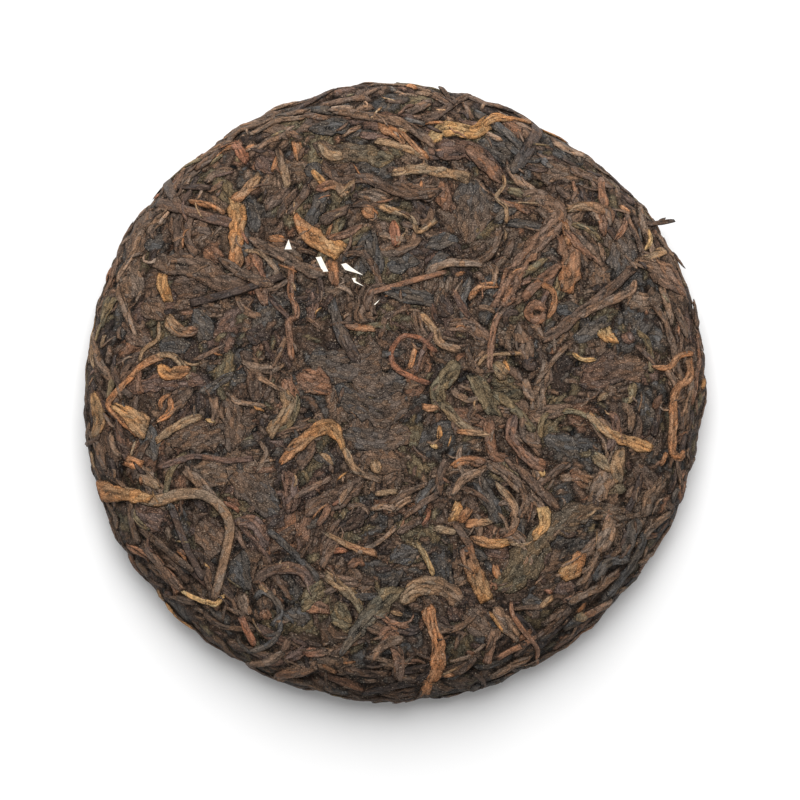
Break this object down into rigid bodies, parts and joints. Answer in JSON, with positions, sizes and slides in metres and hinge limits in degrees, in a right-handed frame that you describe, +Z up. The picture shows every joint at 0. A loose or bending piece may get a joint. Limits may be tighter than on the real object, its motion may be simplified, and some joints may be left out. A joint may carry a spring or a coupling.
{
  "type": "ripe pu-erh tea cake",
  "caption": "Round flat cake of dark pressed tea leaf: leaves, stems and golden buds over a slightly domed face, a rounded edge and a knot hollow underneath.",
  "frame": {"origin": "middle of the cake at the level of the surface it rests on", "axes": "+Z up out of the shown face, +Y towards the top of the shown view, +X to its right"},
  "size_m": [0.1556, 0.1546, 0.0203],
  "materials": {
    "pressed_tea": "matt dark brown leaf with a faint satin on rolled leaves and orange-gold buds",
    "paper": "matt blank white paper"
  },
  "bodies": {
    "root": {"tea_cake": "pressed_tea"}
  },
  "joints": []
}
